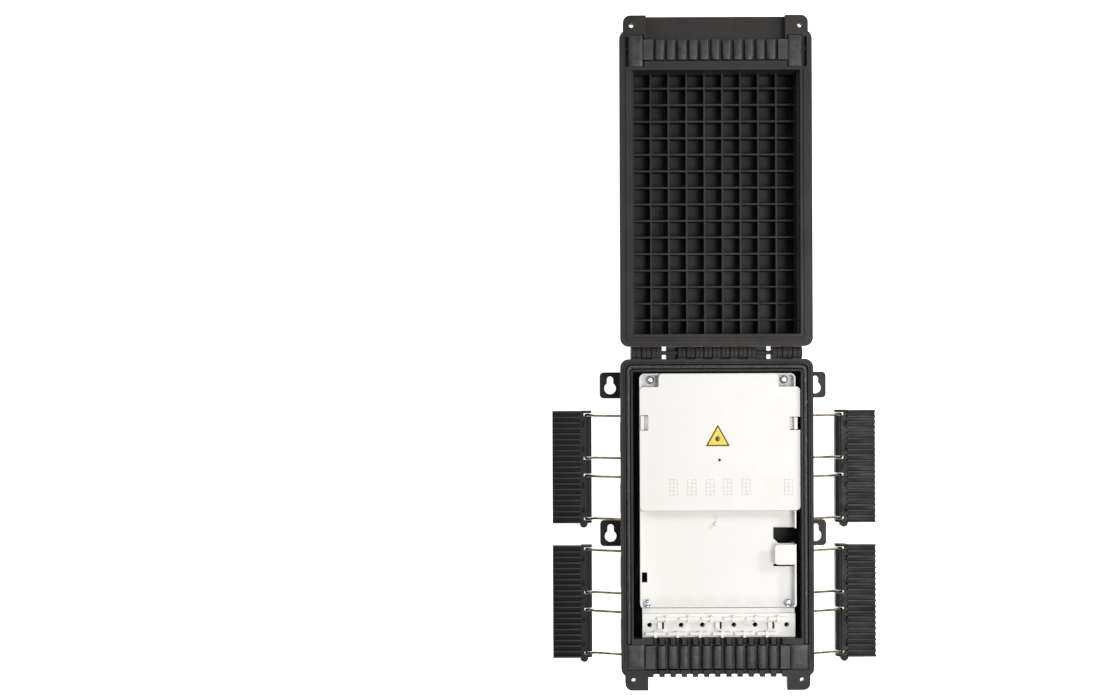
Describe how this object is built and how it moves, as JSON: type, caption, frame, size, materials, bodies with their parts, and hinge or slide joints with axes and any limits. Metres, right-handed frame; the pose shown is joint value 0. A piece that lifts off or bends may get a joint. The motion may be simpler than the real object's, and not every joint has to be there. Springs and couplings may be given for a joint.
{
  "type": "fiber termination box",
  "caption": "Hinged wall box for ending fibre cables, with a splice tray under a lift-off cover, gel-sealed cable ports and wire-bail lever latches.",
  "frame": {"origin": "centre of the base's flat back face", "axes": "+X to the right across the box, +Y along the box towards the hinge, +Z out of the back face through the rim; the lid lies open on the +Y side"},
  "size_m": [0.3292, 0.6754, 0.0654],
  "materials": {
    "housing": "satin moulded black plastic",
    "seal": "soft black gel and rubber",
    "white_plastic": "satin off-white plastic",
    "screw": "bright zinc plate",
    "wire": "yellow zinc plated spring wire",
    "pin": "black rod",
    "sleeve": "clear shrink sleeve",
    "label": "printed film"
  },
  "bodies": {
    "base": {"base_shell": "housing", "base_gasket": "seal", "base_port_seal": "seal", "base_corner_seals": "seal", "hinge_pin": "pin", "splice_tray": "white_plastic", "cable_comb": "white_plastic", "tray_screws": "screw", "splice_holder": "white_plastic", "splice_sleeves": "sleeve", "bend_guides": "white_plastic", "slack_clips": "white_plastic"},
    "cover": {"splice_cover": "white_plastic", "cover_label": "label"},
    "lid": {"lid_shell": "housing", "lid_port_seal": "seal", "lid_corner_seals": "seal"},
    "left_upper_bail": {"left_upper_bails": "wire"},
    "left_lower_bail": {"left_lower_bails": "wire"},
    "right_upper_bail": {"right_upper_bails": "wire"},
    "right_lower_bail": {"right_lower_bails": "wire"},
    "left_upper_handle": {"left_upper_lever": "housing"},
    "left_lower_handle": {"left_lower_lever": "housing"},
    "right_upper_handle": {"right_upper_lever": "housing"},
    "right_lower_handle": {"right_lower_lever": "housing"}
  },
  "joints": [
    {"name": "lid_hinge", "type": "hinge", "parent": "base", "child": "lid", "pos_m": [0, 0.1653, 0.06], "axis": [1, 0, 0], "range_deg": [0, 180]},
    {"name": "cover_lift", "type": "slide", "parent": "base", "child": "cover", "axis": [0, 0, -1], "range_m": [-0.04, 0]},
    {"name": "left_upper_swing", "type": "hinge", "parent": "base", "child": "left_upper_bail", "pos_m": [-0.093, 0.0491, 0.03], "axis": [0, 1, 0], "range_deg": [0, 104.5]},
    {"name": "left_upper_fold", "type": "hinge", "parent": "left_upper_bail", "child": "left_upper_handle", "pos_m": [-0.131, 0.0491, 0.01], "axis": [0, -1, 0], "range_deg": [0, 194.5]},
    {"name": "left_lower_swing", "type": "hinge", "parent": "base", "child": "left_lower_bail", "pos_m": [-0.093, -0.088, 0.03], "axis": [0, 1, 0], "range_deg": [0, 104.5]},
    {"name": "left_lower_fold", "type": "hinge", "parent": "left_lower_bail", "child": "left_lower_handle", "pos_m": [-0.131, -0.088, 0.01], "axis": [0, -1, 0], "range_deg": [0, 194.5]},
    {"name": "right_upper_swing", "type": "hinge", "parent": "base", "child": "right_upper_bail", "pos_m": [0.093, 0.0491, 0.03], "axis": [0, -1, 0], "range_deg": [0, 104.5]},
    {"name": "right_upper_fold", "type": "hinge", "parent": "right_upper_bail", "child": "right_upper_handle", "pos_m": [0.131, 0.0491, 0.01], "axis": [0, 1, 0], "range_deg": [0, 194.5]},
    {"name": "right_lower_swing", "type": "hinge", "parent": "base", "child": "right_lower_bail", "pos_m": [0.093, -0.088, 0.03], "axis": [0, -1, 0], "range_deg": [0, 104.5]},
    {"name": "right_lower_fold", "type": "hinge", "parent": "right_lower_bail", "child": "right_lower_handle", "pos_m": [0.131, -0.088, 0.01], "axis": [0, 1, 0], "range_deg": [0, 194.5]}
  ],
  "couplings": [
    {"joint": "left_upper_fold", "follows": "left_upper_swing", "ratio": 1.8612},
    {"joint": "left_lower_fold", "follows": "left_lower_swing", "ratio": 1.8612},
    {"joint": "right_upper_fold", "follows": "right_upper_swing", "ratio": 1.8612},
    {"joint": "right_lower_fold", "follows": "right_lower_swing", "ratio": 1.8612}
  ]
}
